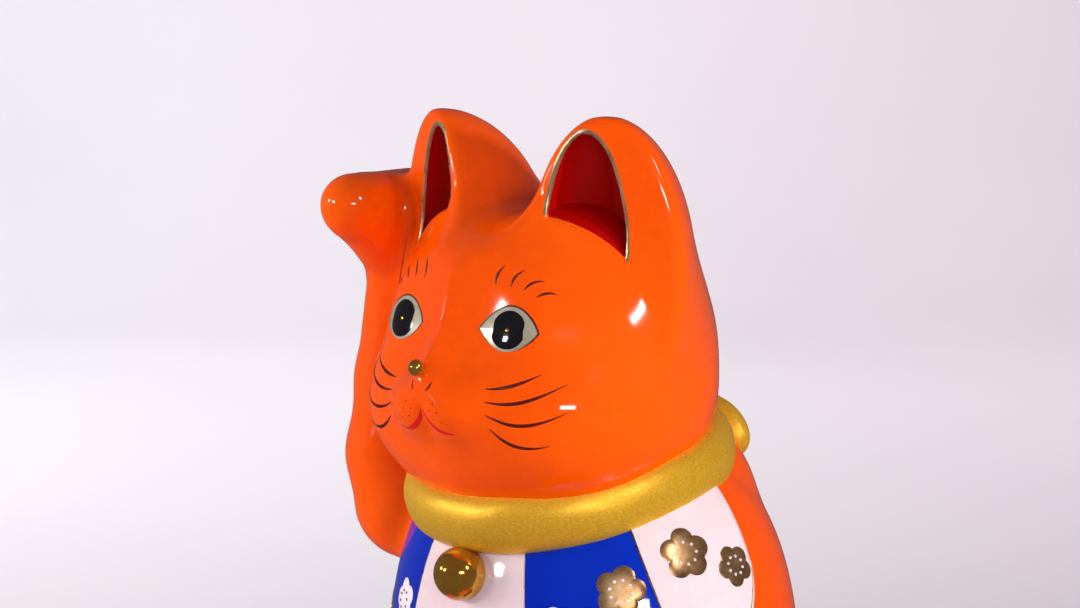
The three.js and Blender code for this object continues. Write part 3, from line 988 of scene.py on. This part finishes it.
# ---------------------------------------------------------------- collar, bow, bell, nose
def build_collar():
    """A padded ring, a little uneven as hand-finished slip is."""
    around, section = 180, 40
    ring, half_thick, half_tall = 41.5, 6.05, 8.65
    turn = np.arange(around) * 2 * math.pi / around
    cut = np.arange(section) * 2 * math.pi / section
    t, c = np.meshgrid(turn, cut, indexing="ij")
    swell = 0.16 * np.sin(3 * t + 0.6) + 0.10 * np.sin(7 * t + 2 * c) + 0.06 * np.sin(13 * t - 3 * c + 1)
    radial = ring + (half_thick + swell) * np.cos(c)
    height = (half_tall + swell) * np.sin(c)
    right = np.array([1.0, 0, 0])
    points = NECK + radial[..., None] * (np.cos(t)[..., None] * right + np.sin(t)[..., None] * NECK_BACK)
    points = points + height[..., None] * NECK_UP
    index = np.arange(around * section).reshape(around, section)
    nxt, nct = np.roll(index, -1, 0), np.roll(index, -1, 1)
    both = np.roll(nxt, -1, 1)
    faces = np.stack([index, nxt, both, nct], -1).reshape(-1, 4)
    make("collar_ring", points.reshape(-1, 3), faces, COLLAR_GOLD, None, ["collar"])


def lathe(name, profile, origin, axis, material, stands_for, around):
    """Turns a profile of (radius, height) round an axis; its first and last rows are the poles."""
    axis = unit(np.asarray(axis, float))
    first = unit(np.cross(axis, [1.0, 0.2, 0.1]))
    second = np.cross(axis, first)
    angle = np.arange(around) * 2 * math.pi / around
    out = np.cos(angle)[:, None] * first + np.sin(angle)[:, None] * second
    rings = [np.asarray(origin) + radius * out + axis * height for radius, height in profile[1:-1]]
    points = np.concatenate([[np.asarray(origin) + axis * profile[0][1]], *rings,
                             [np.asarray(origin) + axis * profile[-1][1]]])
    faces, last = [], len(points) - 1
    for i in range(around):
        j = (i + 1) % around
        faces.append((0, 1 + i, 1 + j))
        for k in range(len(rings) - 1):
            base = 1 + k * around
            faces.append((base + i, base + around + i, base + around + j, base + j))
        base = 1 + (len(rings) - 1) * around
        faces.append((base + i, last, base + j))
    make(name, points, faces, material, None, stands_for)


def bead_profile(radius, count):
    angles = [math.pi * k / count - math.pi / 2 for k in range(count + 1)]
    return [(radius * math.cos(a), radius * math.sin(a)) for a in angles]


BELL_RADIUS, NOSE_RADIUS = 7.5, 2.35


def build_metalwork():
    build_collar()
    lathe("bell_bead", bead_profile(BELL_RADIUS, 40), BELL, (0, -0.2, 1), BRIGHT, ["bell"], 72)
    lathe("nose_bead", bead_profile(NOSE_RADIUS, 20), NOSE, (0, -1, 0.2), BRIGHT, ["nose"], 36)


BOW_DROOP = math.radians(22)


def bow_field(p):
    q = mirrored(p) - (BOW + (14.3, -2.6, -0.6))
    c, n = math.cos(BOW_DROOP), math.sin(BOW_DROOP)
    q = np.stack([c * q[..., 0] - n * q[..., 2], q[..., 1], n * q[..., 0] + c * q[..., 2]], -1)
    loop = ellipsoid(q, (0, 0, 0), (13.4, 5.6, 8.4))
    dent = ellipsoid(q, (2, 5.6, 0), (7.5, 3.2, 4.4))
    loop = smax(loop, -dent, 2.5)
    pleat = 0.3 * np.sin(np.arctan2(q[..., 2], q[..., 0] + 14) * 15) * np.exp(-((q[..., 0] + 7) / 6) ** 2)
    knot = ellipsoid(p - BOW, (0, 1, 2.6), (5.8, 5.6, 6.6))
    return smin(loop + pleat, knot, 1.2)


def build_bow():
    """Two drooping loops with a dent and pleats, and the knot between them."""
    low, high = box_around("collar_bow", 2)
    points, tris = surface_net(bow_field, low, high, 0.9 * COARSE)
    points = relax(bow_field, settle(bow_field, points), tris)
    make("bow", points, tris, COLLAR_GOLD, unit(gradient(bow_field, points)), ["collar_bow"])


# ---------------------------------------------------------------- studio
CAMERA_AZIMUTH, CAMERA_ELEVATION, CAMERA_DISTANCE = 45, 6.2, 0.924  # degrees and metres
CAMERA_LENS, SENSOR_WIDTH = 110, 36
AIM_DROP, AIM_SIDE = 27, 2  # the camera aims this far below the head's top and this far to the left of it
SWEEP_NEAR, SWEEP_FAR, SWEEP_BEND, SWEEP_TOP, SWEEP_HALF = -4.0, 2.6, 1.1, 3.4, 5.0  # the paper, in metres
AMBIENT = 0.14
LIGHT_TARGET = Vector((0, 0, 0.16))
LIGHTS = [  # name, azimuth, elevation, distance, size, power, seen in the glaze, cone in degrees
    ("key", 98, 8, 1.4, (0.16, 0.16), 14.5, False, 50),
    ("window", -27, 14, 1.3, (0.10, 0.08), 3, True, None),
    ("eye_light", -49, 13, 1.3, (0.05, 0.11), 1.6, True, None),
    ("side", 51, 13, 1.5, (0.40, 0.09), 4.5, True, None),
    ("bib_light", 79, 32, 1.5, (0.10, 0.22), 4, True, None),
    ("fill_left", -60, 2, 1.5, (1.0, 0.9), 27, False, None),
    ("fill_right", 70, 8, 1.6, (1.0, 0.9), 5, False, None),
    ("fill_back", 255, 25, 1.7, (1.2, 1.2), 8, False, 60),
]


def direction(azimuth, elevation):
    """Unit vector from the object: azimuth 0 is in front (-Y), 90 is the cat's left (+X)."""
    a, e = math.radians(azimuth), math.radians(elevation)
    return Vector((math.sin(a) * math.cos(e), -math.cos(a) * math.cos(e), math.sin(e)))


def aim(obj, target):
    obj.rotation_euler = (Vector(target) - obj.location).to_track_quat("-Z", "Y").to_euler()


def softbox(name, azimuth, elevation, distance, size, power, glossy, cone):
    """A soft light aimed at the figure. A cone keeps it off the paper, and is as bright along its axis."""
    lamp = bpy.data.lights.new(name, "AREA")
    lamp.shape, lamp.size, lamp.size_y = "RECTANGLE", *size
    lamp.energy = power
    if cone:
        half = math.radians(cone) / 2
        lamp.spread, lamp.energy = 2 * half, power * (1 - half / math.tan(half))
    obj = bpy.data.objects.new(name, lamp)
    obj.location = LIGHT_TARGET + direction(azimuth, elevation) * distance
    aim(obj, LIGHT_TARGET)
    obj.visible_glossy = glossy
    bpy.context.scene.collection.objects.link(obj)
    return obj


def camera_right():
    a = math.radians(CAMERA_AZIMUTH)
    return Vector((math.cos(a), math.sin(a), 0))


def build_camera():
    height = (corners("head_shell")[1][2] - AIM_DROP) * M_PER_MM
    target = Vector((0, 0, height)) - camera_right() * AIM_SIDE * M_PER_MM
    camera = bpy.data.objects.new("camera", bpy.data.cameras.new("camera"))
    camera.data.lens, camera.data.sensor_width = CAMERA_LENS, SENSOR_WIDTH
    camera.data.clip_start, camera.data.clip_end = 0.05, 20
    camera.location = target + direction(CAMERA_AZIMUTH, CAMERA_ELEVATION) * CAMERA_DISTANCE
    aim(camera, target)
    bpy.context.scene.collection.objects.link(camera)
    bpy.context.scene.camera = camera


def shaded_paper_look():
    """Pale paper with painted shade: a little warmer and darker towards the camera's right."""
    look = Look("studio_paper", Roughness=0.9, Specular_IOR_Level=0.1)
    # painted shade: the paper's colour darkens and warms towards the camera's right
    shade_share = look.level(look.along(camera_right()), 0, 1, -0.7, 0.7)
    tint = look.ramp(shade_share, [(0.0, 236, 235, 240), (1.0, 218, 205, 213)])
    cloud = look.ramp(look.noise(2.0, 2.0), [(0.3, 250, 250, 250), (0.7, 255, 255, 255)])
    look.use("Base Color", look.multiply(tint, cloud))
    look.bump([(look.noise(900, 2.0), 0.01)])
    return look.material


def build_backdrop():
    """A sheet of paper that lies under the figure and curves up behind it."""
    start = SWEEP_FAR - SWEEP_BEND
    profile = [(SWEEP_NEAR, 0.0), (start, 0.0)]
    profile += [(start + SWEEP_BEND * math.sin(a), SWEEP_BEND - SWEEP_BEND * math.cos(a))
                for a in np.linspace(0, math.pi / 2, 20)[1:]]
    profile.append((SWEEP_FAR, SWEEP_TOP))
    back = -direction(CAMERA_AZIMUTH, 0)
    across = Vector((back.y, -back.x, 0))
    points = [back * d + Vector((0, 0, z)) + across * s
              for d, z in profile for s in (-SWEEP_HALF, SWEEP_HALF)]
    faces = [(2 * i, 2 * i + 1, 2 * i + 3, 2 * i + 2) for i in range(len(profile) - 1)]
    mesh = bpy.data.meshes.new("paper_sweep")
    mesh.from_pydata([tuple(p) for p in points], [], faces)
    mesh.polygons.foreach_set("use_smooth", [True] * len(faces))
    mesh.materials.append(shaded_paper_look())
    sweep = bpy.data.objects.new("paper_sweep", mesh)
    bpy.context.scene.collection.objects.link(sweep)
    sweep.visible_glossy = False  # its mirror image would veil the dark glaze


def build_lights():
    world = bpy.data.worlds.new("studio")
    world.use_nodes = True
    surround = world.node_tree.nodes["Background"].inputs
    surround["Color"].default_value = colour(236, 222, 232)
    surround["Strength"].default_value = AMBIENT
    bpy.context.scene.world = world
    for row in LIGHTS:
        softbox(*row)
    wash = softbox("sweep_wash", 225, 65, 1.5, (2.0, 0.6), 38, False, None)
    aim(wash, direction(225, 0) * 2.3 + Vector((0, 0, 0.9)))  # the foot of the curve behind the figure


build_glazed_forms()
build_bib()
build_face()
build_metalwork()
build_bow()
build_camera()
build_backdrop()
build_lights()
bpy.context.scene.view_settings.view_transform = "Standard"
